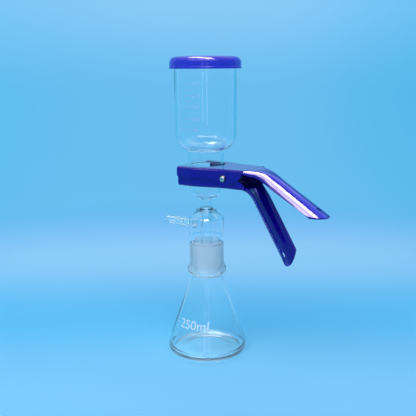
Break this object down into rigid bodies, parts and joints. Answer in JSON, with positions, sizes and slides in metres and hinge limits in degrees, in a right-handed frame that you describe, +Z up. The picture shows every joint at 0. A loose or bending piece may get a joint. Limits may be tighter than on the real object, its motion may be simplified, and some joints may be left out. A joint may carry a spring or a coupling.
{
  "type": "vacuum filtration unit",
  "caption": "Glass funnel with a plastic lid on a fritted filter head with hose barb, standing in a conical flask by a ground joint and held by a sprung clamp.",
  "frame": {"origin": "centre of the flask's base, on the bench", "axes": "+Z up along the glass's axis, +X along the clamp's handles, -X along the hose connection, +Y completes the frame along the clamp's pivot"},
  "size_m": [0.2126, 0.09, 0.3391],
  "materials": {
    "clear_glass": "clear, fire polished, with a ground joint",
    "sintered_glass": "matte sintered glass",
    "membrane": "matte",
    "blue_plastic": "glossy moulded",
    "blue_aluminium": "dark blue anodised, satin",
    "steel": "bright"
  },
  "bodies": {
    "unit": {"flask": "clear_glass", "filter_head": "clear_glass", "fritted_disc": "sintered_glass", "membrane_filter": "membrane", "funnel_cup": "clear_glass", "funnel_lid": "blue_plastic", "clamp_lower_jaw": "blue_aluminium", "pivot_rivet": "steel", "torsion_spring": "steel"},
    "upper_jaw": {"clamp_upper_jaw": "blue_aluminium"}
  },
  "joints": [
    {"name": "clamp_pivot", "type": "hinge", "parent": "unit", "child": "upper_jaw", "pos_m": [0.0395, 0, 0.2095], "axis": [0, 1, 0], "range_deg": [0, 18], "stiffness_Nm_per_rad": 0.8, "springref_deg": -45.84, "deforming": ["torsion_spring"]}
  ]
}
